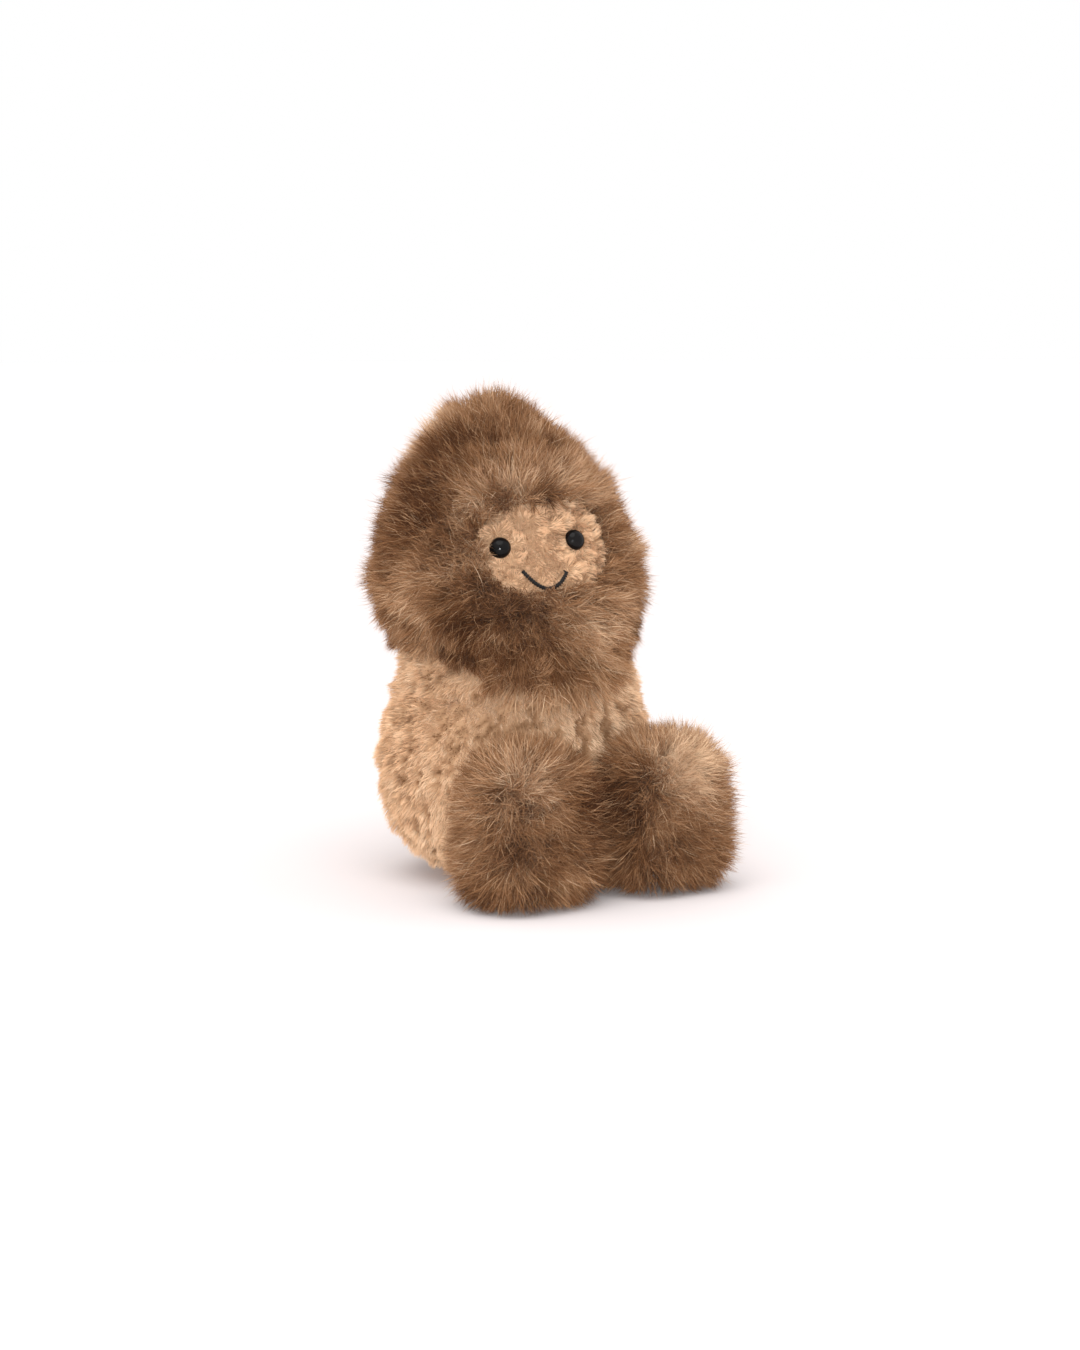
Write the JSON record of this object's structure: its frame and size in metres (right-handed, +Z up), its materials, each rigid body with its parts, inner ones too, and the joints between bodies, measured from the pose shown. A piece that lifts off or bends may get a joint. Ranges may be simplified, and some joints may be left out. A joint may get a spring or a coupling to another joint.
{
  "type": "stuffed monkey",
  "caption": "Sitting soft toy monkey with a hood-like brown fur head and beard, a tan plush face and body, and two block feet.",
  "frame": {"origin": "centre of the base panel's underside, on the surface that the toy sits on", "axes": "+Z up, -Y the way the toy's body faces, +X to the toy's left"},
  "size_m": [0.0824, 0.093, 0.1323],
  "materials": {
    "brown_fur": "long mottled pile",
    "tan_plush": "short curly pile",
    "face_plush": "short curly pile",
    "black_plastic": "polished",
    "black_thread": "twisted thread",
    "stuffing_fibre": "loose fibre",
    "pouch_cotton": "plain weave",
    "pellets": "small pellets"
  },
  "bodies": {
    "torso": {"body_front_panel": "tan_plush", "body_back_left_panel": "tan_plush", "body_back_right_panel": "tan_plush", "base_panel": "tan_plush", "body_stuffing": "stuffing_fibre", "bean_pouch": "pouch_cotton", "bean_fill": "pellets"},
    "neck": {"neck_stuffing": "stuffing_fibre"},
    "head": {"head_left_panel": "brown_fur", "head_right_panel": "brown_fur", "head_crown_panel": "brown_fur", "beard_panel": "brown_fur", "face_panel": "face_plush", "head_stuffing": "stuffing_fibre", "left_eye": "black_plastic", "right_eye": "black_plastic", "left_eye_washer": "black_plastic", "right_eye_washer": "black_plastic", "mouth_stitch": "black_thread"},
    "left_foot": {"left_foot_front_panel": "brown_fur", "left_foot_back_panel": "brown_fur", "left_foot_stuffing": "stuffing_fibre"},
    "right_foot": {"right_foot_front_panel": "brown_fur", "right_foot_back_panel": "brown_fur", "right_foot_stuffing": "stuffing_fibre"}
  },
  "joints": [
    {"name": "head_turn", "type": "hinge", "parent": "torso", "child": "neck", "pos_m": [0, 0, 0.052], "axis": [0, 0, 1], "range_deg": [-20, 20], "stiffness_Nm_per_rad": 0.05},
    {"name": "head_nod", "type": "hinge", "parent": "neck", "child": "head", "pos_m": [0, 0, 0.052], "axis": [0.982, -0.1891, 0], "range_deg": [-12, 8], "stiffness_Nm_per_rad": 0.2},
    {"name": "left_foot_lift", "type": "hinge", "parent": "torso", "child": "left_foot", "pos_m": [0.0212, -0.03012, 0.0426], "axis": [-1, 0, 0], "range_deg": [0, 25], "stiffness_Nm_per_rad": 0.03},
    {"name": "right_foot_lift", "type": "hinge", "parent": "torso", "child": "right_foot", "pos_m": [-0.0212, -0.03012, 0.0426], "axis": [-1, 0, 0], "range_deg": [0, 25], "stiffness_Nm_per_rad": 0.03}
  ]
}
